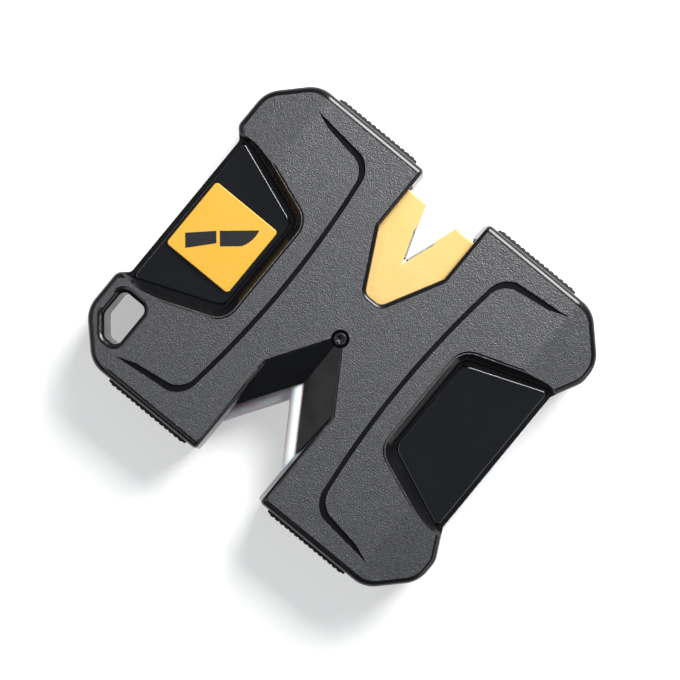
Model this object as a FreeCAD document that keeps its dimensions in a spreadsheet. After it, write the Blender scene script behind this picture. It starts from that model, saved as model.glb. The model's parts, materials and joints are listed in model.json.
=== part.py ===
import FreeCAD, Part
import math, os, re
import Sketcher

# Pull-through knife sharpener, lying on its back.  X is across the body, +Y points at the
# diamond slot, +Z leaves the front face.  Origin: middle of the rear face.  Millimetres.
#
# Two moulded shells meet at the middle plane z = half_t.  The diamond guide rocks about an
# X axis on two pins held between the shells.  Three ceramic rods are clamped by the shells.

doc = FreeCAD.newDocument("knife_sharpener")
sheet = doc.addObject("Spreadsheet::Sheet", "Sizes")

SIZES = {
    # body
    "half_w": 54.1,          # centre to wing tip
    "half_l": 45.2,          # centre to leg end
    "half_t": 11.0,          # middle plane to front or rear face
    "edge_r": 1.8,           # rounding of the outer face edge
    "waist_l": 2.8,          # left waist, in from the wing tip
    "waist_r": 4.1,          # right waist, in from the wing tip
    "parting": 0.2,          # bevel along the line where the shells meet
    "corner_cut": 9.8,       # size of the cut-off wing corners
    "slope_run": 13.9,       # width of the sloping wing face
    "slope_drop": 2.5,
    "crease_r": 6,
    # thumb recesses
    "recess_in": 29.0,       # recess length, in from the wing tip
    "recess_deep": 3.2,
    "recess_draft": 35,
    "brim": 0.5,             # bevel between the face and the recess wall
    "panel_deep": 0.7,       # panel seat below the recess floor
    "panel_thick": 1.1,
    "panel_gap": 0.1,
    "ledge": 1.1,            # recess floor left outside the panel, at the waist
    # slots
    "mouth_half": 10.6,      # slot half width between the legs, at the face
    "mouth_draft": 0.8,      # how much narrower it is at the lip
    "mouth_r": 1.1,          # rounding where the slot meets the face
    "vee_half": 32.7,        # half angle of the ceramic slot
    "vee_face": 0.3,         # apex of that slot at the face
    "vee_lip": -15.0,        # apex at the lip
    "lip": 5.3,              # lip height above the middle plane
    # ceramic rods
    "rod_r": 2.3,
    "rod_show": 3.2,         # how far a rod stands out of the slot wall
    "rod_up": 10.0,          # rod length above the crossing
    "rod_down": 28.2,        # rod length below the crossing
    "edge_rod_r": 2.5,       # rod for serrated blades, in the right edge
    "edge_rod_in": 5.6,      # its axis, in from the wing tip
    "edge_rod_half": 24.8,
    "seat_gap": 0.05,        # clearance round clamped rods
    # diamond guide
    "guide_half": 12.0,
    "guide_top": 39.2,
    "guide_low": 10.5,
    "guide_t": 8.0,          # half thickness
    "bay_gap": 0.6,
    "bay_over": 1.5,         # room between the guide and the face of its bay
    "vee_apex": 23.5,
    "grind_half": 20,        # half angle between the diamond plates
    "plate_t": 1.0,
    "plate_half": 5.0,
    "plate_proud": 0.6,
    "plate_len": 8.4,
    # pins and screw
    "pin_r": 1.5,
    "pin_y": 24.5,
    "pin_len": 7.0,
    "run_gap": 0.05,
    "screw_y": -0.75,
    "head_r": 1.8,
    "head_h": 2.2,
    "head_down": 0.8,
    "head_gap": 0.55,        # round the screw head
    "shank_r": 1.2,
    # feet and badge
    "foot_len": 25.0,
    "foot_in": 13.4,
    "foot_wide": 15.0,
    "foot_deep": 1.2,        # depth of the seat in the leg end
    "foot_out": 0.85,
    "rib_pitch": 1.6,
    "rib_h": 0.25,
    "badge": 20.0,
    "badge_in": 15.0,        # badge centre, in from the wing tip
    "badge_thick": 1.2,
    "badge_seat": 0.6,
    "print_turn": 40,        # lean of the knife print
    # inside
    "wall_in": 5.4,          # cavity ceiling above the middle plane
    "groove_deep": 0.6,
}
for row, (word, value) in enumerate(SIZES.items(), start=1):
    sheet.set(f"A{row}", word)
    sheet.set(f"B{row}", str(value))
    sheet.setAlias(f"B{row}", word)
doc.recompute()

FUNCTIONS = {"tan", "sin", "cos", "sqrt"}


def bound(text):
    """Turn size names into spreadsheet references."""
    return re.sub(r"[a-z_]+", lambda m: m[0] if m[0] in FUNCTIONS else "Sizes." + m[0],
                  str(text))


def value(text):
    return float(sheet.evalExpression(bound(text)))


def tie(item, prop, text):
    item.setExpression(prop, bound(text))


def body(name):
    return doc.addObject("PartDesign::Body", name)


def sketch(owner, name, loops, height="0", role="XY_Plane"):
    """Closed loops of corners; a corner (x, y, r) is reached by an arc of radius r."""
    sk = owner.newObject("Sketcher::SketchObject", name)
    plane = next(f for f in owner.Origin.OriginFeatures if f.Role == role)
    sk.AttachmentSupport = (plane, [""])
    sk.MapMode = "FlatFace"
    tie(sk, "AttachmentOffset.Base.z", height)
    for loop in loops:
        first = sk.GeometryCount
        spots = [FreeCAD.Vector(value(c[0]), value(c[1]), 0) for c in loop]
        for i, corner in enumerate(loop):
            a, b = spots[i - 1], spots[i]
            if len(corner) == 2:
                sk.addGeometry(Part.LineSegment(a, b), False)
                continue
            bulge = value(corner[2])
            half = b.sub(a).Length / 2
            side = FreeCAD.Vector(b.y - a.y, a.x - b.x, 0).normalize()
            rise = abs(bulge) - math.sqrt(bulge ** 2 - half ** 2)
            top = (a + b) * 0.5 + side * math.copysign(rise, bulge)
            sk.addGeometry(Part.Arc(a, top, b), False)
        count = len(loop)
        for i, corner in enumerate(loop):
            here, after = first + i, first + (i + 1) % count
            ends = [2 if len(corner) == 2 or value(corner[2]) > 0 else 1,
                    1 if len(loop[(i + 1) % count]) == 2
                    or value(loop[(i + 1) % count][2]) > 0 else 2]
            sk.addConstraint(Sketcher.Constraint("Coincident", here, ends[0], after, ends[1]))
            for kind, text, now in (("DistanceX", corner[0], spots[i].x),
                                    ("DistanceY", corner[1], spots[i].y)):
                if abs(now) < 1e-9:
                    sk.addConstraint(Sketcher.Constraint(
                        "PointOnObject", here, ends[0], -2 if kind == "DistanceX" else -1))
                    continue
                rule = sk.addConstraint(Sketcher.Constraint(kind, here, ends[0], now))
                tie(sk, f"Constraints[{rule}]", text)
            if len(corner) == 3:
                rule = sk.addConstraint(
                    Sketcher.Constraint("Radius", here, abs(value(corner[2]))))
    return sk


def circle(owner, name, x, y, r, height="0", role="XY_Plane"):
    sk = owner.newObject("Sketcher::SketchObject", name)
    plane = next(f for f in owner.Origin.OriginFeatures if f.Role == role)
    sk.AttachmentSupport = (plane, [""])
    sk.MapMode = "FlatFace"
    tie(sk, "AttachmentOffset.Base.z", height)
    at = FreeCAD.Vector(value(x), value(y), 0)
    sk.addGeometry(Part.Circle(at, FreeCAD.Vector(0, 0, 1), value(r)), False)
    for kind, text, now in (("DistanceX", x, at.x), ("DistanceY", y, at.y)):
        if abs(now) < 1e-9:
            sk.addConstraint(Sketcher.Constraint(
                "PointOnObject", 0, 3, -2 if kind == "DistanceX" else -1))
            continue
        tie(sk, f"Constraints[{sk.addConstraint(Sketcher.Constraint(kind, 0, 3, now))}]", text)
    tie(sk, f"Constraints[{sk.addConstraint(Sketcher.Constraint('Radius', 0, value(r)))}]", r)
    return sk


def grow(owner, name, profile, length, down=False, both=False, cut=False, draft=None):
    """Pad or pocket along the sketch's normal; down turns it round."""
    kind = "PartDesign::Pocket" if cut else "PartDesign::Pad"
    item = owner.newObject(kind, name)
    item.Profile = profile
    item.SideType = "Symmetric" if both else "One side"
    tie(item, "Length", length)
    item.Reversed = down != cut
    if draft:
        tie(item, "TaperAngle", draft)
    doc.recompute()
    if cut:
        before = item.BaseFeature.Shape.Volume
        if before - item.Shape.Volume < 1e-6:
            raise ValueError(f"{name} cuts nothing")
    return item


def drill(owner, name, x, y, z, turn, r, length):
    """Round cut of a given length that starts at x, y, z and runs along the turned axis."""
    item = owner.newObject("PartDesign::SubtractiveCylinder", name)
    tie(item, "Radius", r)
    tie(item, "Height", length)
    item.Placement = FreeCAD.Placement(FreeCAD.Vector(value(x), value(y), value(z)), turn)
    doc.recompute()
    return item


def blend(owner, name, r, choose):
    """Round every edge of the body so far that choose accepts."""
    base = owner.Tip
    names = [f"Edge{i}" for i, edge in enumerate(base.Shape.Edges, start=1) if choose(edge)]
    if not names:
        raise ValueError(f"{name} finds no edge")
    item = owner.newObject("PartDesign::Fillet", name)
    item.Base = (base, names)
    tie(item, "Radius", r)
    doc.recompute()
    if not item.isValid():
        raise ValueError(f"{name} fails on {len(names)} edges")
    return item


def middle(edge):
    low, high = edge.ParameterRange
    return edge.valueAt((low + high) / 2)


def upright(edge):
    return edge.BoundBox.XLength < 1e-6 and edge.BoundBox.YLength < 1e-6


def near(edge, spots, reach=0.05):
    at = middle(edge)
    return any(math.hypot(at.x - value(x), at.y - value(y)) < reach for x, y in spots)


ALONG_Y = FreeCAD.Rotation(FreeCAD.Vector(1, 0, 0), -90)


def rod_turn(side):
    """Rotation that lays a Z cylinder along the ceramic rod that leans to one side."""
    lean = math.radians(value("vee_half"))
    return FreeCAD.Rotation(FreeCAD.Vector(0, 0, 1),
                            FreeCAD.Vector(side * math.sin(lean), -math.cos(lean), 0))


def rod_start(side, extra=0.0):
    """Upper end of the axis of a ceramic rod."""
    lean = math.radians(value("vee_half"))
    cross = value("vee_lip") - (value("rod_show") - value("rod_r")) / math.sin(lean)
    back = value("rod_up") + extra
    return (-side * math.sin(lean) * back, cross + math.cos(lean) * back,
            value("half_t") + side * (value("rod_r") + value("seat_gap")))


OUTLINE = [
    ("half_w - corner_cut", "half_l"), ("-(half_w - corner_cut)", "half_l"),
    ("-half_w", "half_l - corner_cut"), ("-half_w", "24.4"),
    ("-(half_w - waist_l)", "21.6"), ("-(half_w - waist_l)", "-21.2"),
    ("-half_w", "-23.4"), ("-half_w", "-(half_l - corner_cut)"),
    ("-(half_w - corner_cut)", "-half_l"), ("half_w - corner_cut", "-half_l"),
    ("half_w", "-(half_l - corner_cut)"), ("half_w", "-28.6"),
    ("half_w - waist_r", "-20.8"), ("half_w - waist_r", "21.5"),
    ("half_w", "29.4"), ("half_w", "half_l - corner_cut"),
]
WAIST = {1: "waist_r", -1: "waist_l"}
EAR_HOLE = [("-(half_w - 4.2)", "-25.8"), ("-(half_w - 12.1)", "-25.8"),
            ("-(half_w - 12.1)", "-38"), ("-(half_w - 8)", "-38"), ("-(half_w - 4.2)", "-33.4")]
GUIDE = [("guide_half", "guide_top"), ("-guide_half", "guide_top"), ("-guide_half", "26.4"),
         ("-3.05", "guide_low"), ("3.05", "guide_low"), ("guide_half", "26.4")]


def mirrored(corners, side):
    """The same corners on the left or right, still in order round the loop."""
    if side > 0:
        return corners
    flipped = []
    for i in range(len(corners) - 1, -1, -1):
        arc = corners[(i + 1) % len(corners)][2:]
        flipped.append((f"-({corners[i][0]})", corners[i][1], *arc))
    return flipped


def panel_edge(hand, gap="0"):
    """Thumb panel on the right or left; its outer side follows that side's waist."""
    outer, inner = f"half_w - {WAIST[hand]} - ledge - {gap}", f"half_w - recess_in + 2.7 + {gap}"
    return mirrored([(outer, f"22.2 - {gap}"), (inner, f"13.9 - {gap}"),
                     (inner, f"-(13 - {gap})"), (outer, f"-(21.9 - {gap})")], hand)


def recess(more):
    """Thumb recess at the face, made larger by some of its brim, with rounded corners."""
    corners = [("half_w + 12", f"26 + {more}"), ("half_w - 7", f"24.6 + {more}"),
               (f"half_w - recess_in - {more}", f"16.6 + 0.7 * {more}"),
               (f"half_w - recess_in - {more}", f"-(15.6 + 0.7 * {more})"),
               ("half_w - 7", f"-(24.3 + {more})"), ("half_w + 12", f"-(25.6 + {more})")]
    return rounded(corners, {1: 14, 2: value(f"5.6 + {more}"), 3: value(f"5.6 + {more}"), 4: 14})


def rounded(corners, radii):
    """Swap chosen corners of a loop for arcs; x stays tied to the wing tip."""
    spots = [FreeCAD.Vector(value(x), value(y), 0) for x, y in corners]
    loop = []
    for i, (here, spot) in enumerate(zip(corners, spots)):
        if i not in radii:
            loop.append(here)
            continue
        back = (spots[i - 1] - spot).normalize()
        onward = (spots[(i + 1) % len(spots)] - spot).normalize()
        reach = radii[i] / math.tan(back.getAngle(onward) / 2)
        for toward, arc in ((back, ()), (onward, (str(radii[i]),))):
            end = spot + toward * reach
            loop.append((f"half_w - ({value('half_w') - end.x})", str(end.y), *arc))
    return loop


def vee(apex, half):
    """Slot between the lower legs: apex height and half width."""
    knee = f"{apex} - ({half}) / tan(vee_half)"
    return [("0", apex), (f"-({half})", knee), (f"-({half})", "-half_l - 3"),
            (half, "-half_l - 3"), (half, knee)]


def notch(half, foot, low):
    """Slot between the upper legs."""
    return [(half, "half_l + 3"), (f"-({half})", "half_l + 3"), (f"-({half})", "27.4"),
            (f"-({foot})", low), (foot, low), (half, "27.4")]


def loft_cut(owner, name, lower, upper):
    item = owner.newObject("PartDesign::SubtractiveLoft", name)
    item.Profile = lower
    item.Sections = [upper]
    item.Ruled = True
    doc.recompute()
    return item


def shell(name, side):
    """Front (side +1) or rear (side -1) half of the body."""
    s = "+" if side > 0 else "-"
    face = f"half_t {s} half_t"
    down = side < 0
    own = body(name)
    grow(own, name + "_block", sketch(own, name + "_outline", [OUTLINE], "half_t"),
         "half_t", down)
    blend(own, name + "_corners", "8", lambda e: upright(e) and near(e, [
        c for c in OUTLINE if "corner_cut" in c[0] + c[1]]))
    blend(own, name + "_waist", "2.6", lambda e: upright(e) and near(e, OUTLINE[3:4]
                                                                      + OUTLINE[6:7]))
    blend(own, name + "_inner", "1.6", lambda e: upright(e) and near(e, OUTLINE[4:6]
                                                                      + OUTLINE[12:14]))
    blend(own, name + "_shoulders", "5", lambda e: upright(e) and near(e, [
        OUTLINE[11], OUTLINE[14]]))
    base = own.Tip
    part_line = [f"Edge{i}" for i, e in enumerate(base.Shape.Edges, start=1)
                 if abs(middle(e).z - value("half_t")) < 1e-3]
    bevel = own.newObject("PartDesign::Chamfer", name + "_parting")
    bevel.Base = (base, part_line)
    tie(bevel, "Size", "parting")
    doc.recompute()
    wings = []
    for hand in (1, -1):
        wedge = [("half_w - slope_run", face), ("half_w + 5", face),
                 ("half_w + 5", f"{face} - ({s}1) * slope_drop * (slope_run + 5) / slope_run")]
        wings.append(mirrored(wedge, hand))
    grow(own, name + "_wings", sketch(own, name + "_wedges", wings, role="XZ_Plane"),
         "4 * half_l", both=True, cut=True)
    top = value(face)
    blend(own, name + "_creases", "crease_r", lambda e: abs(middle(e).z - top) < 1e-3
          and crease(e))
    blend(own, name + "_rim", "edge_r", lambda e: not upright(e) and not crease(e)
          and abs(middle(e).z - top) < value("slope_drop") + 0.1)
    foot_seats(own, name, side)
    inside(own, name, side)
    for hand, word in ((1, "right"), (-1, "left")):
        pit = sketch(own, f"{name}_{word}_scoop", [mirrored(recess("0"), hand)], face)
        grow(own, f"{name}_{word}_recess", pit, "recess_deep", not down, cut=True,
             draft="-recess_draft")
        brim = sketch(own, f"{name}_{word}_brim", [mirrored(recess("brim"), hand)], face)
        grow(own, f"{name}_{word}_recess_brim", brim, "brim * 0.5", not down, cut=True,
             draft="-60")
        seat = sketch(own, f"{name}_{word}_seat", [panel_edge(hand)],
                      f"{face} - ({s}1) * recess_deep")
        grow(own, f"{name}_{word}_panel_seat", seat, "panel_deep", not down, cut=True)
    slots(own, name, side)
    return own


def slots(own, name, side):
    """The two open slots, the grooves in the face and the hole in the ear."""
    s = "+" if side > 0 else "-"
    face, lip = f"half_t {s} half_t", f"half_t {s} lip"
    top = value(face)
    down = side < 0
    tight = "mouth_half - mouth_draft"
    loft_cut(own, name + "_lower_flare",
             sketch(own, name + "_lower_face", [vee("vee_face", "mouth_half")], face),
             sketch(own, name + "_lower_lip", [vee("vee_lip", tight)], lip))
    grow(own, name + "_lower_slot",
         sketch(own, name + "_lower_edge", [vee("vee_lip", tight)], lip),
         "lip", not down, cut=True)
    loft_cut(own, name + "_upper_flare",
             sketch(own, name + "_upper_face", [notch("mouth_half", "2.5", "11.9")], face),
             sketch(own, name + "_upper_middle", [notch(tight, "1.7", "13.3")], "half_t"))
    blend(own, name + "_notch_corners", "2.2", lambda e: e.BoundBox.ZLength > 0.7
          and 1 < abs(middle(e).x) < 2.8 and 10 < middle(e).y < 15)
    blend(own, name + "_mouths", "mouth_r", lambda e: abs(middle(e).z - top) < 1e-3
          and abs(middle(e).x) < value("mouth_half") + 0.01 and abs(middle(e).y) < value("half_l"))
    if side > 0:
        bore = circle(own, name + "_bore", "0", "screw_y", "head_r + head_gap", face)
        grow(own, name + "_screw_bore", bore, "head_down + head_h", not down, cut=True)
        grow(own, name + "_screw_way", circle(own, name + "_way", "0", "screw_y",
                                              "shank_r + 0.15", face),
             "half_t", not down, cut=True)
    else:
        grow(own, name + "_screw_hole", circle(own, name + "_hole", "0", "screw_y",
                                               "shank_r + seat_gap", "half_t"),
             "half_t - 3", down, cut=True)
    for hand, word in ((1, "right"), (-1, "left")):
        band = sketch(own, f"{name}_{word}_band", [mirrored(GROOVE, hand)], face)
        grow(own, f"{name}_{word}_groove", band, "groove_deep", not down, cut=True)
    ear = sketch(own, name + "_ear", [EAR_HOLE], face)
    grow(own, name + "_ear_hole", ear, "half_t", not down, cut=True)
    blend(own, name + "_ear_corners", "1.9", lambda e: upright(e) and near(e, EAR_HOLE))
    blend(own, name + "_ear_lip", "1.5", lambda e: abs(middle(e).z - top) < 2.6
          and on_ear(e))


def on_ear(edge):
    box = edge.BoundBox
    tip = value("half_w")
    return (-tip + 4.1 < box.XMin and box.XMax < -tip + 12.2 and -38.1 < box.YMin
            and box.YMax < -25.7 and not upright(edge))


GROOVE = [("40.7", "39.8"), ("35.6", "37.9"), ("25.9", "36.45"), ("21.8", "31.2", "6"),
          ("21.8", "-31.2", "236"), ("25.9", "-36.45", "6"), ("35.6", "-37.9"),
          ("40.7", "-39.8"), ("25.2", "-38.2"), ("20.6", "-31.6", "-7"),
          ("20.6", "31.6", "-238"), ("25.2", "38.2", "-7")]


def inside(own, name, side):
    """Cavities, bores and seats behind the face."""
    s = "+" if side > 0 else "-"
    face = f"half_t {s} half_t"
    down = side < 0
    side_bay = [("half_w - 9.5", "36.5"), ("19", "36.5"), ("19", "-36.5"),
                ("half_w - 17", "-36.5"), ("half_w - 17", "-22"), ("half_w - 9.5", "-18")]
    for hand, word in ((1, "right"), (-1, "left")):
        grow(own, f"{name}_{word}_bay", sketch(
            own, f"{name}_{word}_bay_edge", [mirrored(side_bay, hand)], "half_t"),
            "wall_in", down, cut=True)
    gap = "bay_gap"
    bay = [(f"guide_half + {gap}", f"guide_top + 2 * {gap}"),
           (f"-(guide_half + {gap})", f"guide_top + 2 * {gap}"),
           (f"-(guide_half + {gap})", "26"), (f"-(3.2 + {gap})", f"guide_low - 1 - {gap}"),
           (f"3.2 + {gap}", f"guide_low - 1 - {gap}"), (f"guide_half + {gap}", "26")]
    grow(own, name + "_guide_bay", sketch(own, name + "_guide_bay_edge", [bay], "half_t"),
         "guide_t + bay_over", down, cut=True)
    for hand, word in ((1, "right"), (-1, "left")):
        drill(own, f"{name}_{word}_pin_bore", "0", "pin_y", "half_t",
              FreeCAD.Rotation(FreeCAD.Vector(0, 1, 0), 90 * hand), "pin_r + run_gap",
              f"guide_half + {gap} + pin_len / 2 + 0.2")
    drill(own, name + "_edge_rod_seat", "half_w - edge_rod_in", "-edge_rod_half - seat_gap",
          "half_t", ALONG_Y, "edge_rod_r + seat_gap", "2 * (edge_rod_half + seat_gap)")
    cut_rod(own, name, side)


def square(half):
    """Badge outline on the left wing."""
    at = "-(half_w - badge_in)"
    return [(f"{at} + {half}", half), (f"{at} - ({half})", half),
            (f"{at} - ({half})", f"-({half})"), (f"{at} + {half}", f"-({half})")]


def cut_rod(own, name, side):
    """Trench for this half's ceramic rod: round at the bottom, open at the middle plane."""
    at = rod_start(side, value("seat_gap"))
    turn = rod_turn(side)
    r = value("rod_r + seat_gap")
    round_cut = own.newObject("PartDesign::SubtractiveCylinder", name + "_rod_round")
    tie(round_cut, "Radius", "rod_r + seat_gap")
    tie(round_cut, "Height", "rod_up + rod_down + 2 * seat_gap")
    round_cut.Placement = FreeCAD.Placement(FreeCAD.Vector(*at), turn)
    doc.recompute()
    box = own.newObject("PartDesign::SubtractiveBox", name + "_rod_way")
    tie(box, "Length", "rod_up + rod_down + 2 * seat_gap")
    tie(box, "Width", "2 * (rod_r + seat_gap)")
    tie(box, "Height", "rod_r + seat_gap")
    along = turn.multVec(FreeCAD.Vector(0, 0, 1))
    flat = FreeCAD.Rotation(FreeCAD.Vector(0, 0, 1),
                            math.degrees(math.atan2(along.y, along.x)))
    low = min(at[2], value("half_t"))
    corner = FreeCAD.Vector(at[0], at[1], low) - flat.multVec(FreeCAD.Vector(0, r, 0))
    box.Placement = FreeCAD.Placement(corner, flat)
    doc.recompute()


def foot_seats(own, name, side):
    """Shallow seats for the rubber strips in the ends of the four legs."""
    loops = []
    for hand in (1, -1):
        loops.append(mirrored([("foot_in + foot_len", "half_t + foot_wide / 2"),
                               ("foot_in", "half_t + foot_wide / 2"),
                               ("foot_in", "half_t - foot_wide / 2"),
                               ("foot_in + foot_len", "half_t - foot_wide / 2")], hand))
    for end, word in ((1, "upper"), (-1, "lower")):
        sk = sketch(own, f"{name}_{word}_feet", loops, f"-({end} * half_l)", "XZ_Plane")
        grow(own, f"{name}_{word}_foot_seats", sk, "foot_deep", end < 0, cut=True)


def crease(edge):
    """Long edge that runs the way of Y, where a wing starts to slope."""
    return edge.BoundBox.YLength > value("half_l") and abs(middle(edge).x) < value("half_w") - 10


def panel(name, side, hand):
    """Glossy plate in the floor of a thumb recess."""
    s = "+" if side > 0 else "-"
    floor = f"half_t {s} (half_t - recess_deep - panel_deep)"
    own = body(name)
    edge = panel_edge(hand, "panel_gap")
    grow(own, name + "_plate", sketch(own, name + "_edge", [edge], floor), "panel_thick",
         side < 0)
    blend(own, name + "_corners", "2.2", lambda e: upright(e)
          and abs(middle(e).x) < value("half_w - recess_in + 10"))
    top = value(f"{floor} {s} panel_thick")
    blend(own, name + "_softened", "0.4", lambda e: abs(middle(e).z - top) < 1e-3)
    if name == "left_front_panel":
        grow(own, name + "_badge_seat", sketch(
            own, name + "_badge_edge", [square("badge / 2 + seat_gap")],
            f"{floor} {s} panel_thick"), "badge_seat", True, cut=True)
    return own


def guide(name, side):
    """Half of the rocking guide: outer plate with the V, split at the middle plane."""
    down = side < 0
    own = body(name)
    grow(own, name + "_block", sketch(own, name + "_outline", [GUIDE], "half_t"),
         "guide_t", down)
    slot = [("4.8", "guide_top + 1"), ("4.8", "guide_top"), ("3.1", "34.2"), ("2.9", "31.7"),
            ("0", "vee_apex"), ("-2.9", "31.7"), ("-3.1", "34.2"), ("-4.8", "guide_top"),
            ("-4.8", "guide_top + 1")]
    blend(own, name + "_corners", "1", lambda e: upright(e))
    top = value("half_t" + ("-" if down else "+") + "guide_t")
    grow(own, name + "_slot", sketch(own, name + "_vee", [slot], "half_t"), "guide_t", down,
         cut=True)
    blend(own, name + "_rounding", "0.5", lambda e: abs(middle(e).z - top) < 1e-3)
    for hand, word in ((1, "right"), (-1, "left")):
        seat = sketch(own, f"{name}_{word}_plate_edge", [mirrored(plate("seat_gap"), hand)],
                      "half_t")
        grow(own, f"{name}_{word}_plate_seat", seat, "plate_half + seat_gap", down, cut=True)
        drill(own, f"{name}_{word}_pin_hole", f"{hand} * guide_half", "pin_y", "half_t",
              FreeCAD.Rotation(FreeCAD.Vector(0, 1, 0), -90 * hand), "pin_r", "pin_len / 2")
    return own


def plate(gap="0"):
    """Outline of the right diamond plate; its face leans by grind_half through the apex."""
    lift = "plate_proud / sin(grind_half)"
    up = "plate_len * cos(grind_half)"
    out = "plate_len * sin(grind_half)"
    start = f"vee_apex + {lift} + 0.1 / tan(grind_half)"
    back_x = f"(plate_t + {gap}) * cos(grind_half)"
    back_y = f"(plate_t + {gap}) * sin(grind_half)"
    return [("0.1", start), (f"0.1 + {back_x}", f"{start} - {back_y}"),
            (f"0.1 + {out} + {back_x}", f"{start} + {up} - {back_y} + {gap}"),
            (f"0.1 + {out}", f"{start} + {up} + {gap}")]


def bar(name, x, y, z, turn, r, length, taper="0.2"):
    """Round bar with softened ends."""
    own = body(name)
    item = own.newObject("PartDesign::AdditiveCylinder", name + "_bar")
    tie(item, "Radius", r)
    tie(item, "Height", length)
    item.Placement = FreeCAD.Placement(FreeCAD.Vector(value(x), value(y), value(z)), turn)
    doc.recompute()
    blend(own, name + "_ends", taper, lambda e: isinstance(e.Curve, Part.Circle))
    return own


def foot(name, hand, end):
    """Rubber strip let into a leg end, with cross ribs that stand out."""
    own = body(name)
    x = mirrored([("foot_in + foot_len - seat_gap", "half_t + foot_wide / 2 - seat_gap"),
                  ("foot_in + seat_gap", "half_t + foot_wide / 2 - seat_gap"),
                  ("foot_in + seat_gap", "half_t - foot_wide / 2 + seat_gap"),
                  ("foot_in + foot_len - seat_gap", "half_t - foot_wide / 2 + seat_gap")], hand)
    out = f"-({end} * (half_l - foot_deep))"
    grow(own, name + "_strip", sketch(own, name + "_edge", [x], out, "XZ_Plane"),
         "foot_deep + foot_out", end > 0)
    blend(own, name + "_corners", "1", lambda e: e.BoundBox.YLength > value("foot_deep")
          and e.BoundBox.XLength + e.BoundBox.ZLength < 1e-6)
    count = int(value("foot_len / rib_pitch")) - 1
    first = f"foot_in + foot_len / 2 - {count - 1} / 2 * rib_pitch"
    rib = mirrored([(f"{first} + 0.5", "half_t + foot_wide / 2 - 1"),
                    (f"{first} - 0.5", "half_t + foot_wide / 2 - 1"),
                    (f"{first} - 0.5", "half_t - foot_wide / 2 + 1"),
                    (f"{first} + 0.5", "half_t - foot_wide / 2 + 1")], hand)
    face = f"-({end} * (half_l + foot_out))"
    ribs = grow(own, name + "_rib", sketch(own, name + "_rib_edge", [rib], face, "XZ_Plane"),
                "rib_h", end > 0)
    row = own.newObject("PartDesign::LinearPattern", name + "_ribs")
    row.Originals = [ribs]
    axis = next(f for f in own.Origin.OriginFeatures if f.Role == "X_Axis")
    row.Direction = (axis, [""])
    row.Reversed = hand < 0
    tie(row, "Length", f"{count - 1} * rib_pitch")
    row.Occurrences = count
    own.Tip = row
    doc.recompute()
    return own


def screw(name):
    """Pan-head screw that draws the two shells together, with a hexagonal drive."""
    own = body(name)
    seat = "2 * half_t - head_down - head_h"
    grow(own, name + "_head", circle(own, name + "_head_edge", "0", "screw_y", "head_r", seat),
         "head_h")
    top = value(f"{seat} + head_h")
    blend(own, name + "_dome", "0.5", lambda e: abs(middle(e).z - top) < 1e-3)
    drive = [(f"cos({60 * i}) * 0.95", f"screw_y + sin({60 * i}) * 0.95") for i in range(6)]
    grow(own, name + "_drive", sketch(own, name + "_hexagon", [drive], f"{seat} + head_h"),
         "1.3", True, cut=True)
    grow(own, name + "_shank", circle(own, name + "_round", "0", "screw_y", "shank_r", seat),
         f"{seat} - 3.6", True)
    return own


def badge(name):
    """Square plate let into the left front panel."""
    own = body(name)
    floor = "2 * half_t - recess_deep - panel_deep + panel_thick - badge_seat"
    grow(own, name + "_plate", sketch(own, name + "_edge", [square("badge / 2")], floor),
         "badge_thick")
    blend(own, name + "_corners", "1", upright)
    top = value(f"{floor} + badge_thick")
    blend(own, name + "_softened", "0.25", lambda e: abs(middle(e).z - top) < 1e-3)
    return own


def emblem(name):
    """Flat print on the badge: the plain outline of a knife that points to the upper slot."""
    own = body(name)
    floor = "2 * half_t - recess_deep - panel_deep + panel_thick - badge_seat + badge_thick"

    def outline(corners):
        return [(f"-(half_w - badge_in) + ({u}) * cos(print_turn) - ({v}) * sin(print_turn)",
                 f"({u}) * sin(print_turn) + ({v}) * cos(print_turn)", *arc)
                for u, v, *arc in corners]

    blade = outline([(-0.5, -2.2), (4.9, -2.2), (9.4, 1.7, "7.5"), (-0.5, 1.7)])
    grip = outline([(-9.2, -2.5), (-1.4, -1.4), (-1.4, 1.7), (-9.2, 1.3)])
    grow(own, name + "_print", sketch(own, name + "_edge", [blade, grip], floor), "0.06")
    return own


shell("front_shell", 1)
shell("rear_shell", -1)
for side, half in ((1, "front"), (-1, "rear")):
    for hand, word in ((1, "right"), (-1, "left")):
        panel(f"{word}_{half}_panel", side, hand)
    guide(f"{half}_guide", side)
badge("badge_plate")
emblem("badge_print")
screw("centre_screw")
for hand, word in ((1, "right"), (-1, "left")):
    own = body(f"{word}_diamond_plate")
    face = sketch(own, f"{word}_diamond_edge", [mirrored(plate(), hand)], "half_t")
    grow(own, f"{word}_diamond", face, "2 * plate_half", both=True)
    bar(f"{word}_pivot_pin", f"{hand} * (guide_half - pin_len / 2)", "pin_y", "half_t",
        FreeCAD.Rotation(FreeCAD.Vector(0, 1, 0), 90 * hand), "pin_r", "pin_len", "0.3")
    for end, place in ((1, "upper"), (-1, "lower")):
        foot(f"{place}_{word}_foot", hand, end)
for side, half in ((1, "front"), (-1, "rear")):
    start = rod_start(side)
    bar(f"{half}_ceramic_rod", *(str(v) for v in start), rod_turn(side), "rod_r",
        "rod_up + rod_down", "0.4")
bar("serration_rod", "half_w - edge_rod_in", "-edge_rod_half", "half_t", ALONG_Y,
    "edge_rod_r", "2 * edge_rod_half", "0.5")
doc.recompute()

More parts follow.
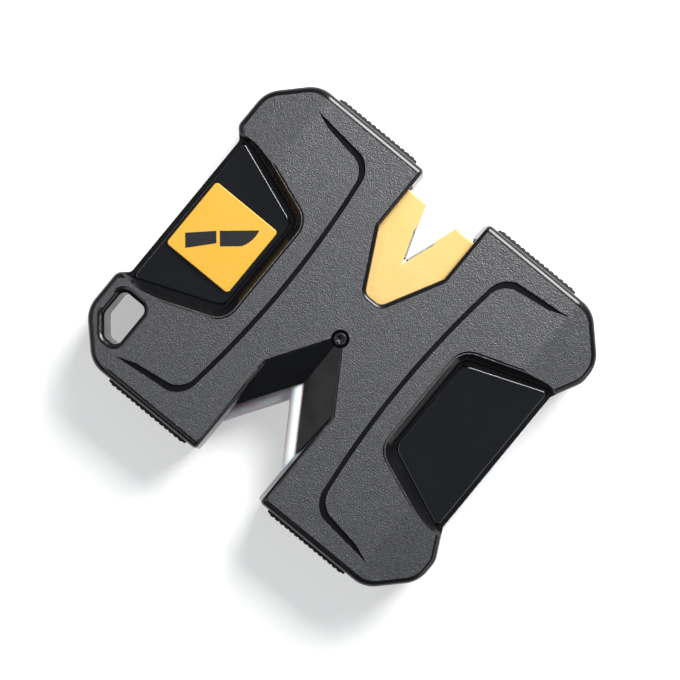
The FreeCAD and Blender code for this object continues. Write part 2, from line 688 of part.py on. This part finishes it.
bad = [item.Name for item in doc.Objects if "Invalid" in item.State or "Error" in item.State]
os.makedirs("parts", exist_ok=True)
for own in doc.Objects:
    if own.TypeId != "PartDesign::Body":
        continue
    if own.Shape.isNull() or not own.Shape.isValid():
        bad.append(own.Label)
    if own.Shape.Solids and len(own.Shape.Solids) > 1 and own.Label != "badge_print":
        bad.append(own.Label + " in pieces")
if bad:
    raise ValueError("faulty: " + ", ".join(bad))
for own in doc.Objects:
    if own.TypeId == "PartDesign::Body":
        own.Shape.exportStep(f"parts/{own.Label}.step")
        print(own.Label, round(own.Shape.Volume, 1))
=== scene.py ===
# %% [markdown]
# # A pull-through knife sharpener, finished piece by piece
#
# The frame holds the measured model: two moulded shells, a rocking guide with slanted
# diamond plates, three ceramic rods, rubber feet, glossy thumb panels and a badge.
# This lesson gives each piece its finish, and models again the pieces whose shape needs
# more than flat cuts: the dished thumb panels, the treaded rubber feet and the screw.
#
# Everything is in metres, in the frame's own axes: X across the body, Y towards the
# diamond slot, Z out of the front face.

import json
import math

import bmesh
import bpy
from mathutils import Matrix, Vector


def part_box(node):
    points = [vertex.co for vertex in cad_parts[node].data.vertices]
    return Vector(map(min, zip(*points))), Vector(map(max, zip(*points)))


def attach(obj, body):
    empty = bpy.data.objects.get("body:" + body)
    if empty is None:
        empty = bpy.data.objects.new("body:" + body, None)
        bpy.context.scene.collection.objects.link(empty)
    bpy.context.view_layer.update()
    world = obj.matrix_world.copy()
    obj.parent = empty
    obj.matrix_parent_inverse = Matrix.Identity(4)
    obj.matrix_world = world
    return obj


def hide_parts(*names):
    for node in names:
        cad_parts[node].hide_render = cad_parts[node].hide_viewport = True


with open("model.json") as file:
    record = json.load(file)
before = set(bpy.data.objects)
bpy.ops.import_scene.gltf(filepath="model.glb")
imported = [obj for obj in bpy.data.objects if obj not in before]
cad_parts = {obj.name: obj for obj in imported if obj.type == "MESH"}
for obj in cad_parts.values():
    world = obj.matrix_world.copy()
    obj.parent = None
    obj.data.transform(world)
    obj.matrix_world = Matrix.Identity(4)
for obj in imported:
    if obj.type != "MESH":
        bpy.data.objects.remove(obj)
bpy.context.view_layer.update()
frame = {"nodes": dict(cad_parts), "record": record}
nodes = frame["nodes"]

# %% [markdown]
# ## Sizes read from the frame
#
# A size that is typed in twice drifts apart. The boxes of the nodes already say where each
# piece is, so the few numbers that the new pieces need are read from those boxes.

# %% Sizes
MM = 0.001
shell_low, shell_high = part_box("front_shell")
middle = shell_low[2]
face = shell_high[2]
print(f"face at {face / MM:.1f} mm, middle plane at {middle / MM:.1f} mm")

# %% [markdown]
# ## A small kit for finishes
#
# Every finish here is one Principled shader fed by a few pattern nodes. Writing each node
# by hand hides the idea, so one helper makes a node and sets its inputs, and one more makes
# the usual chain: noise, then a ramp, then a bump or a roughness. Patterns read Object
# coordinates, which are metres in the piece's own space, so a pattern's size is a real size.


# %% Finish kit
def node(tree, kind, **inputs):
    """Make a node. Inputs are socket names with _ for a space, or iN for socket N; props
    holds the plain properties."""
    made = tree.nodes.new(kind)
    for name, value in inputs.pop("props", {}).items():
        setattr(made, name, value)
    for name, value in inputs.items():
        socket = made.inputs[int(name[1:])] if name[0] == "i" and name[1:].isdigit() else (
            made.inputs[name.replace("_", " ")])
        if isinstance(value, bpy.types.NodeSocket):
            tree.links.new(value, socket)
        else:
            socket.default_value = value
    return made


def new_finish(name, colour, rough, **fixed):
    """A Principled material; fixed are its other constant sockets."""
    finish = bpy.data.materials.new(name)
    finish.use_nodes = True
    tree = finish.node_tree
    shader = tree.nodes["Principled BSDF"]
    shader.inputs["Base Color"].default_value = (*colour, 1)
    shader.inputs["Roughness"].default_value = rough
    for word, value in fixed.items():
        shader.inputs[word.replace("_", " ")].default_value = value
    return finish, tree, shader


def object_space(tree):
    return tree.nodes.new("ShaderNodeTexCoord").outputs["Object"]


def noise(tree, size, detail=3.0, rough=0.5, stretch=None):
    """Noise whose grains are about size metres across."""
    place = object_space(tree)
    if stretch:
        place = node(tree, "ShaderNodeMapping", Vector=place, Scale=stretch).outputs["Vector"]
    return node(tree, "ShaderNodeTexNoise", Vector=place, Scale=1 / size, Detail=detail,
                Roughness=rough).outputs["Fac"]


def ramp(tree, factor, low, high, start, end):
    """Map factor from low..high to start..end, clamped."""
    return node(tree, "ShaderNodeMapRange", Value=factor, From_Min=low, From_Max=high,
                To_Min=start, To_Max=end, props={"clamp": True}).outputs["Result"]


def mix_colour(tree, factor, first, second):
    made = tree.nodes.new("ShaderNodeMix")
    made.data_type = "RGBA"
    for index, value in ((0, factor), (6, first), (7, second)):
        if isinstance(value, bpy.types.NodeSocket):
            tree.links.new(value, made.inputs[index])
        else:
            made.inputs[index].default_value = value if index == 0 else (*value, 1)
    return made.outputs[2]


def bump(tree, height, depth, strength):
    return node(tree, "ShaderNodeBump", Height=height, Distance=depth,
                Strength=strength).outputs["Normal"]


def plug(tree, output, shader, socket):
    tree.links.new(output, shader.inputs[socket])


print("finish kit ready")

# %% [markdown]
# ## Charcoal moulding with a spark texture
#
# The face of each shell leaves a mould that was etched by sparks: a fine, even grain about
# a third of a millimetre across that scatters light, so the plastic looks grey although the
# resin is almost black. A flat grey would look like paper. A fine noise and a coarse one add
# up to the grain. The grain drives a bump and makes its raised points a little smoother. It
# also
# carries painted light and shade: raised points are painted lighter and pits darker. A wide
# cloud varies the tone.


# %% Spark-textured charcoal
def spark_texture():
    finish, tree, shader = new_finish("spark_charcoal", (0.03, 0.03, 0.033), 0.45,
                                      Specular_IOR_Level=0.6)
    fine = noise(tree, 0.00036, detail=2.0, rough=0.55)
    coarse = noise(tree, 0.0009, detail=2.0)
    cloud = noise(tree, 0.02, detail=2.0)
    grain = node(tree, "ShaderNodeMath", props={"operation": "ADD"}, i0=fine,
                 i1=ramp(tree, coarse, 0.35, 0.65, -0.06, 0.06)).outputs[0]
    # Painted light and shade: raised points of the grain are painted lighter, pits darker.
    grain_painted_shade = ramp(tree, grain, 0.36, 0.66, 0.0, 1.0)
    tint = mix_colour(tree, grain_painted_shade, (0.009, 0.0091, 0.0105), (0.04, 0.0405, 0.044))
    tint = mix_colour(tree, ramp(tree, cloud, 0.35, 0.65, 0.0, 0.2), tint,
                      (0.024, 0.0243, 0.027))
    plug(tree, tint, shader, "Base Color")
    plug(tree, ramp(tree, grain, 0.35, 0.7, 0.46, 0.34), shader, "Roughness")
    plug(tree, bump(tree, grain, 0.0002, 0.85), shader, "Normal")
    return finish


charcoal = spark_texture()
print("made", charcoal.name)

# %% [markdown]
# ## Smooth black edges
#
# The rounded rims and the walls of the slots and recesses come from polished parts of the
# same mould, so they are smooth and much darker. The floors of the grooves take this dark
# finish too, as painted shade in the grooves. It is the same resin without the grain: low
# roughness, a very faint ripple from the flow of the plastic, and a few hazy patches from
# handling.


# %% Smooth black
def smooth_black():
    finish, tree, shader = new_finish("smooth_black", (0.0035, 0.0035, 0.004), 0.3,
                                      Specular_IOR_Level=0.32)
    haze = noise(tree, 0.006, detail=4.0)
    plug(tree, ramp(tree, haze, 0.35, 0.7, 0.18, 0.28), shader, "Roughness")
    ripple = noise(tree, 0.0035, detail=1.0)
    plug(tree, bump(tree, ripple, 0.00002, 0.5), shader, "Normal")
    return finish


black = smooth_black()
print("made", black.name)

# %% [markdown]
# ## Polished black
#
# The thumb panels are polished and lacquered, so they act as dark mirrors. Plain low
# roughness would look like glass. A noise stretched along Y gives fine hairlines in the
# roughness, which only show in a reflection, and a thin coat adds the lacquer.


# %% Polished black
FINISHES = {}


def polished_black():
    finish, tree, shader = new_finish("polished_black", (0.004, 0.0043, 0.0055), 0.07,
                                      Specular_IOR_Level=0.55, Coat_Weight=0.35,
                                      Coat_Roughness=0.04)
    lines = noise(tree, 0.0012, detail=5.0, stretch=(1.0, 0.08, 1.0))
    plug(tree, ramp(tree, lines, 0.4, 0.75, 0.05, 0.16), shader, "Roughness")
    return finish


FINISHES["panel"] = polished_black()
print("made", FINISHES["panel"].name)

# %% [markdown]
# ## Gold
#
# The guide and the badge are gold coloured plastic, not metal. A metal shader would mirror
# the room, so metallic stays at or near zero and two close colours do the work: a cloud
# moves slowly from one to the other, and a fine grain darkens its pits as painted shade. The
# same function makes the guide's gold with more grain and the badge's with almost none.


# %% Gold moulding
def gold(name, colour, shade, rough, depth, metal):
    finish, tree, shader = new_finish(name, colour, rough, Metallic=metal,
                                      Specular_IOR_Level=0.4)
    grain = noise(tree, 0.00055, detail=3.0)
    cloud = noise(tree, 0.009, detail=2.0)
    tint = mix_colour(tree, ramp(tree, cloud, 0.3, 0.7, 0.0, 1.0), colour, shade)
    # Painted shade: the grain darkens the pits.
    tint = mix_colour(tree, ramp(tree, grain, 0.42, 0.62, 0.25, 0.0), tint,
                      tuple(c * 0.7 for c in shade))
    plug(tree, tint, shader, "Base Color")
    plug(tree, ramp(tree, grain, 0.3, 0.7, rough + 0.1, rough - 0.06), shader, "Roughness")
    plug(tree, bump(tree, grain, depth, 0.6), shader, "Normal")
    return finish


FINISHES["badge"] = gold("badge_gold", (0.45, 0.258, 0.031), (0.45, 0.25, 0.018), 0.45,
                         0.00001, 0.0)
FINISHES["guide"] = gold("guide_gold", (0.5, 0.335, 0.122), (0.49, 0.32, 0.1), 0.42,
                         0.00004, 0.05)
print("made", FINISHES["badge"].name, "and", FINISHES["guide"].name)

# %% [markdown]
# ## Rubber
#
# The feet are matte black rubber, and rubber gathers dust. Roughness alone leaves a flat
# black hole, so a noise lays paler, rougher patches over it and a fine one gives it a skin.


# %% Rubber
def rubber_finish():
    finish, tree, shader = new_finish("black_rubber", (0.012, 0.012, 0.0125), 0.8,
                                      Specular_IOR_Level=0.3)
    dust = noise(tree, 0.0016, detail=5.0)
    tint = mix_colour(tree, ramp(tree, dust, 0.48, 0.75, 0.0, 0.6), (0.009, 0.009, 0.0095),
                      (0.03, 0.03, 0.031))
    plug(tree, tint, shader, "Base Color")
    plug(tree, ramp(tree, dust, 0.3, 0.7, 0.72, 0.9), shader, "Roughness")
    plug(tree, bump(tree, noise(tree, 0.0004), 0.00005, 0.7), shader, "Normal")
    return finish


FINISHES["rubber"] = rubber_finish()
print("made", FINISHES["rubber"].name)

# %% [markdown]
# ## Unglazed ceramic
#
# The rods are white alumina, unglazed, with a grain that is too fine to see and faint grey
# marks. Light enters the surface a little, so some subsurface scattering is set. The
# scattering distance differs by colour, which tints the edges of the light slightly.


# %% Unglazed ceramic
def ceramic_finish():
    finish, tree, shader = new_finish("white_ceramic", (0.8, 0.8, 0.82), 0.42,
                                      Subsurface_Weight=0.7, Subsurface_Scale=0.004)
    mark = noise(tree, 0.0035, detail=3.0, stretch=(1.0, 1.0, 3.0))
    tint = mix_colour(tree, ramp(tree, mark, 0.6, 0.85, 0.0, 0.4), (0.64, 0.64, 0.66),
                      (0.48, 0.49, 0.52))
    plug(tree, tint, shader, "Base Color")
    fine = noise(tree, 0.00025, detail=2.0)
    plug(tree, ramp(tree, fine, 0.3, 0.7, 0.36, 0.5), shader, "Roughness")
    plug(tree, bump(tree, fine, 0.000012, 0.6), shader, "Normal")
    return finish


FINISHES["ceramic"] = ceramic_finish()
print("made", FINISHES["ceramic"].name)

# %% [markdown]
# ## Diamond grit
#
# A diamond plate is nickel that holds tiny grit. A noise has no separate grains, so a
# Voronoi pattern with cells of 0.18 mm stands for them: each cell is painted lighter in its
# middle and darker at its edge, as painted light and shade on the grains; it is rougher at
# its edge, and raised or sunk by a bump.


# %% Diamond grit on nickel
def grit_finish():
    finish, tree, shader = new_finish("diamond_grit", (0.5, 0.51, 0.53), 0.4, Metallic=0.85)
    grit = node(tree, "ShaderNodeTexVoronoi", Vector=object_space(tree), Scale=1 / 0.00018)
    # Painted light and shade: each grain is lighter in its middle and darker at its edge.
    tint = mix_colour(tree, ramp(tree, grit.outputs["Distance"], 0.1, 0.6, 0.0, 1.0),
                      (0.4, 0.41, 0.43), (0.16, 0.165, 0.175))
    plug(tree, tint, shader, "Base Color")
    plug(tree, ramp(tree, grit.outputs["Distance"], 0.0, 0.6, 0.3, 0.6), shader, "Roughness")
    plug(tree, bump(tree, grit.outputs["Distance"], 0.00006, 0.9), shader, "Normal")
    return finish


FINISHES["diamond"] = grit_finish()
print("made", FINISHES["diamond"].name)

# %% [markdown]
# ## Steel
#
# The screw is blackened steel and the pivot pins are ground bright. One function makes
# both: a noise lays rubbed patches, lighter than the base colour, and varies the roughness.


# %% Blackened and ground steel
def steel_finish(name, colour, rough, metal=1.0):
    finish, tree, shader = new_finish(name, colour, rough, Metallic=metal)
    rub = noise(tree, 0.0009, detail=4.0)
    lighter = tuple(min(1.0, c * 1.8 + 0.01) for c in colour)
    plug(tree, mix_colour(tree, ramp(tree, rub, 0.5, 0.75, 0.0, 0.6), colour, lighter),
         shader, "Base Color")
    plug(tree, ramp(tree, rub, 0.3, 0.7, rough - 0.08, rough + 0.12), shader, "Roughness")
    plug(tree, bump(tree, rub, 0.00001, 0.5), shader, "Normal")
    return finish


FINISHES["screw"] = steel_finish("blackened_steel", (0.03, 0.03, 0.032), 0.36, 0.8)
FINISHES["steel"] = steel_finish("ground_steel", (0.55, 0.56, 0.58), 0.28)
print("made", FINISHES["screw"].name, "and", FINISHES["steel"].name)

# %% [markdown]
# ## Printed ink
#
# The mark on the badge is a flat dark print. It is nearly even, with a fine speck in its
# colour and its roughness, so that it doesn't look cut out of the gold.


# %% Printed ink
def ink_finish():
    finish, tree, shader = new_finish("dark_print", (0.01, 0.0105, 0.012), 0.5,
                                      Specular_IOR_Level=0.2)
    speck = noise(tree, 0.0003, detail=2.0)
    plug(tree, mix_colour(tree, ramp(tree, speck, 0.4, 0.7, 0.0, 0.5), (0.008, 0.0085, 0.01),
                          (0.016, 0.0165, 0.018)), shader, "Base Color")
    plug(tree, ramp(tree, speck, 0.3, 0.7, 0.4, 0.55), shader, "Roughness")
    return finish


FINISHES["print"] = ink_finish()
print("made", FINISHES["print"].name)

# %% [markdown]
# ## Putting the finishes on the measured pieces
#
# Most pieces take one finish. A shell takes two, and its polygons say which: a polygon that
# lies flat in the front or rear face, or in a wing's gentle slope, has the spark texture,
# and every other polygon is smooth black. The flat floors of the grooves in the middle are
# smooth black too, as painted shade. Asking the polygon's normal and height keeps the
# border between grain and polish exactly on the model's own edges.

# %% Finish the measured pieces
WING_DROP = 2.9 * MM     # deepest point of a wing's slope below the face
GROOVE_DROP = 0.4 * MM   # anything deeper in the flat middle is the floor of a groove
FLAT_HALF = 38 * MM      # half width of the flat middle

for piece in frame["record"]["subparts"]:
    name, slot = piece["node"], piece["material_slot"]
    mesh = nodes[name].data
    mesh.materials.clear()
    if slot != "shell":
        mesh.materials.append(FINISHES[slot])
        continue
    mesh.materials.append(charcoal)
    mesh.materials.append(black)
    flat = 0
    for polygon in mesh.polygons:
        depth = face - abs(polygon.center.z - middle) - middle
        textured = (abs(polygon.normal.z) > 0.98 and abs(polygon.normal.y) < 0.02
                    and depth < WING_DROP)
        # Painted shade: groove floors in the flat middle take the dark smooth finish.
        groove_painted_shade = GROOVE_DROP < depth and abs(polygon.center.x) < FLAT_HALF
        textured = textured and not groove_painted_shade
        polygon.material_index = 0 if textured else 1
        flat += textured
    print(name, "textured polygons:", flat, "of", len(mesh.polygons))

# %% [markdown]
# ## A small kit for shapes
#
# A turned piece is easy: a profile swept round a circle. The panels, the feet and their
# lugs are the same idea with another outline, since each is a stack of rings that share one
# outline, drawn in by some distance at some height. So one function draws an outline with
# round corners moved in by a distance, and another joins a stack of those rings. The rings
# always have the same number of points, so every step is a clean strip of quads, and one
# winding for all of them keeps the normals outward in a dish as well as on a wall.


# %% Shape kit
LEAST_RADIUS = 0.05 * MM


def ring_points(corners, radii, inset, steps=6):
    """Convex outline (corners anticlockwise) moved in by inset, with its corners rounded."""
    count = len(corners)
    points = []
    for i in range(count):
        here = Vector(corners[i])
        back = (Vector(corners[i - 1]) - here).normalized()
        onward = (Vector(corners[(i + 1) % count]) - here).normalized()
        half = back.angle(onward) / 2
        bisector = (back + onward).normalized()
        corner = here + bisector * inset / math.sin(half)
        radius = max(radii[i] - inset, LEAST_RADIUS)
        centre = corner + bisector * radius / math.sin(half)
        start = corner + back * radius / math.tan(half) - centre
        turn = math.pi - 2 * half
        for k in range(steps + 1):
            spun = Matrix.Rotation(turn * k / steps, 2) @ start
            points.append(centre + spun)
    return points


def stack(rings):
    """Join rings of (x, y, z) points, each anticlockwise, from the bottom up, and close both
    ends. Every strip winds the same way, so the normals point outwards."""
    bm = bmesh.new()
    loops = [[bm.verts.new(p) for p in ring] for ring in rings]
    for lower, upper in zip(loops, loops[1:]):
        for i in range(len(lower)):
            bm.faces.new((lower[i - 1], lower[i], upper[i], upper[i - 1]))
    bm.faces.new(loops[0][::-1])
    bm.faces.new(loops[-1])
    return bm


def outline_stack(corners, radii, levels, steps=6):
    """Stack of one outline; levels are (inset, height) from the bottom to the top."""
    return stack([[(p.x, p.y, height) for p in ring_points(corners, radii, inset, steps)]
                  for inset, height in levels])


def rounding(size, top, steps=3):
    """Levels that turn an upright wall into a flat top through a quarter circle."""
    return [(size * (1 - math.cos(math.pi / 2 * k / steps)),
             top - size * (1 - math.sin(math.pi / 2 * k / steps))) for k in range(steps + 1)]


def finished(bm, name, body, slot, replaced, angle):
    """Turn a bmesh into a shown piece that rides on a body."""
    bmesh.ops.remove_doubles(bm, verts=bm.verts, dist=1e-7)
    mesh = bpy.data.meshes.new(name)
    bm.to_mesh(mesh)
    bm.free()
    mesh.materials.append(FINISHES[slot])
    for polygon in mesh.polygons:
        polygon.use_smooth = True
    mesh.set_sharp_from_angle(angle=math.radians(angle))
    piece = bpy.data.objects.new(name, mesh)
    bpy.context.scene.collection.objects.link(piece)
    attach(piece, body)
    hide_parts(*replaced)
    print("made", name, len(mesh.polygons), "faces")


print("shape kit ready")

# %% [markdown]
# ## Thumb panels
#
# Each recess is floored by a glossy plate. The plate is dished so that a thumb settles in
# it, its corners are round, and its fine rolled edge catches the light as one bright line.
# A flat plate reflects the room like a mirror and looks like card. The plate is a stack of
# rings: an upright wall, the rolled edge, then a shallow bowl that bends the reflection.


# %% Thumb panels
UPPER_SLANT, LOWER_SLANT = 8.2 * MM, 8.8 * MM   # how much shorter the inner side is
OUTER_ROUND, INNER_ROUND = 0.9 * MM, 3.4 * MM
PANEL_EDGE = ((0, 0.3), (0.04, 0.17), (0.12, 0.08), (0.22, 0.02), (0.34, 0))
DISH_INSETS = (0.8, 1.3, 1.9, 2.6, 3.5, 4.6, 5.8, 7.0, 8.2)
DISH_REACH, DISH_DEPTH = 9, 0.5 * MM


def thumb_panel(name):
    """Dished plate; edge pairs are (inset, drop) and dish insets are in millimetres."""
    low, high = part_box(name)
    side = 1 if low.x + high.x > 0 else -1
    outer, inner = (high.x, low.x) if side > 0 else (low.x, high.x)
    corners = [(outer, low.y), (outer, high.y), (inner, high.y - UPPER_SLANT),
               (inner, low.y + LOWER_SLANT)]
    radii = [OUTER_ROUND, OUTER_ROUND, INNER_ROUND, INNER_ROUND]
    if side < 0:
        corners, radii = corners[::-1], radii[::-1]
    thick = high.z - low.z
    levels = [(0, 0)] + [(inset * MM, thick - drop * MM) for inset, drop in PANEL_EDGE]
    for inset in DISH_INSETS:
        share = (inset - PANEL_EDGE[-1][0]) / DISH_REACH
        levels.append((inset * MM, thick - DISH_DEPTH * math.sin(share * math.pi / 2) ** 1.5))
    bm = outline_stack(corners, radii, levels, 8)
    if low.z > middle:
        bmesh.ops.translate(bm, verts=bm.verts, vec=(0, 0, low.z))
    else:
        bmesh.ops.scale(bm, vec=(1, 1, -1), verts=bm.verts)
        bmesh.ops.reverse_faces(bm, faces=bm.faces)
        bmesh.ops.translate(bm, verts=bm.verts, vec=(0, 0, high.z))
    finished(bm, name + "_dished", "housing", "panel", (name,), 50)


for panel in ("left_front_panel", "right_front_panel", "right_rear_panel", "left_rear_panel"):
    thumb_panel(panel)

# %% [markdown]
# ## Rubber feet
#
# The strips on the leg ends let the sharpener stand on a worktop and stop it sliding. They
# are soft, so nothing on them is sharp: the strip's edge is rolled, and so is every lug of
# the tread. The tread is three rows of lugs, with the middle row set over by half a pitch.
# A lug is a small stack of rings, and a loop places it along each row. The whole foot is
# drawn lying flat, then turned to face the way its leg points.


# %% Rubber feet
LUG_ROWS = ((0.7, 4.9), (5.3, 9.5), (9.9, 14.2))   # each row's edges across the strip, in mm
LUG_PITCH, LUG_HALF, LUG_HIGH = 1.55 * MM, 0.6 * MM, 0.28 * MM
LUG_ROUND, LUG_ROLL, LUG_ROOT = 0.45 * MM, 0.25 * MM, 0.2 * MM
STRIP_ROUND, STRIP_ROLL, STRIP_END = 1.1 * MM, 0.3 * MM, 1.2 * MM


def rubber_foot(name):
    low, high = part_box(name)
    end = 1 if high.y > 0 else -1
    root = low.y if end > 0 else high.y
    flat = high.y - low.y - LUG_HIGH
    corners = [(low.x, low.z), (high.x, low.z), (high.x, high.z), (low.x, high.z)]
    bm = outline_stack(corners, [STRIP_ROUND] * 4, [(0, 0)] + rounding(STRIP_ROLL, flat))
    count = int((high.x - low.x - STRIP_END) / LUG_PITCH)
    start = (low.x + high.x) / 2 - (count - 1) * LUG_PITCH / 2
    for row, (near, far) in enumerate(LUG_ROWS):
        for i in range(count - row % 2):
            at = start + (i + 0.5 * (row % 2)) * LUG_PITCH
            left, right = at - LUG_HALF, at + LUG_HALF
            back, front = low.z + near * MM, low.z + far * MM
            lug = outline_stack(
                [(left, back), (right, back), (right, front), (left, front)], [LUG_ROUND] * 4,
                [(0, flat - LUG_ROOT)] + rounding(LUG_ROLL, flat + LUG_HIGH), 3)
            copy = bpy.data.meshes.new("lug")
            lug.to_mesh(copy)
            lug.free()
            bm.from_mesh(copy)
            bpy.data.meshes.remove(copy)
    turn = Matrix(((1, 0, 0, 0), (0, 0, end, 0), (0, 1, 0, 0), (0, 0, 0, 1)))
    bmesh.ops.transform(bm, matrix=turn, verts=bm.verts)
    if end > 0:
        bmesh.ops.reverse_faces(bm, faces=bm.faces)
    bmesh.ops.translate(bm, verts=bm.verts, vec=(0, root, 0))
    finished(bm, name + "_tread", "housing", "rubber", (name,), 60)


for foot in ("upper_left_foot", "upper_right_foot", "lower_left_foot", "lower_right_foot"):
    rubber_foot(foot)

# %% [markdown]
# ## The screw's head
#
# One screw clamps the shells. Its head is a low dome with a six-lobed drive. The drive is
# the only part that isn't round: its rings swing in and out six times on their way round
# and go down into the head. Every other ring is a circle.


# %% Screw
SHANK, UNDER_HEAD, HEAD_WALL = 1.2 * MM, 2.2 * MM, 0.5 * MM
DOME = ((0.985, 0.34), (0.94, 0.2), (0.87, 0.09), (0.78, 0.02), (0.7, 0.0))
DRIVE = ((0.56, 0.02), (0.52, 0.08), (0.49, 0.3), (0.48, 1.0))
DRIVE_END = (0.2, 1.2)
LOBES, SWING, RING_STEPS = 6, 0.17, 96


def centre_screw():
    """Pairs are (share of the head's radius, drop in millimetres)."""
    low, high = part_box("centre_screw")
    centre = ((low.x + high.x) / 2, (low.y + high.y) / 2)
    radius = (high.x - low.x) / 2

    def ring(size, drop, swing=0.0):
        turns = [2 * math.pi * k / RING_STEPS for k in range(RING_STEPS)]
        return [(centre[0] + size * (1 + swing * math.cos(LOBES * t)) * math.cos(t),
                 centre[1] + size * (1 + swing * math.cos(LOBES * t)) * math.sin(t),
                 high.z - drop) for t in turns]

    rings = [ring(SHANK, high.z - low.z), ring(SHANK, UNDER_HEAD), ring(radius, UNDER_HEAD),
             ring(radius, HEAD_WALL)]
    rings += [ring(radius * share, drop * MM) for share, drop in DOME]
    rings += [ring(radius * share, drop * MM, SWING) for share, drop in DRIVE]
    rings.append(ring(radius * DRIVE_END[0], DRIVE_END[1] * MM))
    finished(stack(rings), "centre_screw_turned", "housing", "screw", ("centre_screw",), 40)


centre_screw()

# %% [markdown]
# ## Floor
#
# The sharpener lies on a white sheet. A plain white sheet turns grey away from the light,
# so this one also glows faintly, which keeps it white and its shadows pale. It lies a
# little below the rear face, so that the two never share a plane.

# %% Floor
FLOOR_DROP = 0.2 * MM
bpy.ops.mesh.primitive_plane_add(size=4, location=(0, 0, -FLOOR_DROP))
floor = bpy.context.object
floor.name = "floor"
paper, tree, shader = new_finish("white_sheet", (0.5, 0.5, 0.5), 0.9,
                                 Emission_Color=(1, 1, 1, 1), Emission_Strength=0.46)
floor.data.materials.append(paper)
print("floor at", round(floor.location.z / MM, 2), "mm")

# %% [markdown]
# ## Light
#
# The view is from straight above and turned, so the lamps are placed by how far right, up
# and above the piece they hang in that view. A large soft box at the upper right is the
# key. A long one on the left softens the shadows. Two weak low cards, one at each side,
# reach the walls of the slots and recesses, which the others pass over.

# %% Light
TURN = math.radians(39.5)
RIGHT = Vector((math.cos(TURN), math.sin(TURN), 0))
UP = Vector((-RIGHT.y, RIGHT.x, 0))
AIM = Vector((0.0001, -0.001, face))


def lamp(name, right, up, height, wide, tall, power):
    """Soft box, aimed at the piece; sizes and distances in metres, power in watts."""
    data = bpy.data.lights.new(name, "AREA")
    data.shape = "RECTANGLE"
    data.size, data.size_y = wide, tall
    data.energy = power
    box = bpy.data.objects.new(name, data)
    bpy.context.scene.collection.objects.link(box)
    box.location = AIM + RIGHT * right + UP * up + Vector((0, 0, height))
    box.rotation_euler = (AIM - box.location).to_track_quat("-Z", "Y").to_euler()
    print("lamp", name, power, "W")


lamp("key_box", 0.26, 0.33, 0.33, 0.34, 0.34, 10.0)
lamp("left_box", -0.5, -0.03, 0.6, 1.0, 0.2, 2.0)
lamp("right_card", 0.66, -0.54, 0.31, 0.45, 0.2, 1.4)
lamp("left_card", -0.8, 0.1, 0.3, 0.4, 0.16, 0.24)
world = bpy.data.worlds.new("studio")
world.use_nodes = True
world.node_tree.nodes["Background"].inputs["Color"].default_value = (0.8, 0.9, 1.0, 1)
world.node_tree.nodes["Background"].inputs["Strength"].default_value = 0.15
bpy.context.scene.world = world
bpy.context.scene.view_settings.view_transform = "Standard"

# %% [markdown]
# ## Camera
#
# A long lens from straight above keeps the sides of the body out of sight. The camera is
# turned so that the diamond slot points to the upper right.

# %% Camera
CAMERA_HEIGHT = 0.575
camera_data = bpy.data.cameras.new("camera")
camera_data.sensor_width = 36
camera_data.lens = 121.8
camera_data.clip_end = 20
camera = bpy.data.objects.new("camera", camera_data)
bpy.context.scene.collection.objects.link(camera)
camera.matrix_world = Matrix.Translation(AIM + Vector((0, 0, CAMERA_HEIGHT))) @ Matrix(
    (RIGHT, UP, Vector((0, 0, 1)))).transposed().to_4x4()
bpy.context.scene.camera = camera
print("camera", tuple(round(v, 4) for v in camera.location))
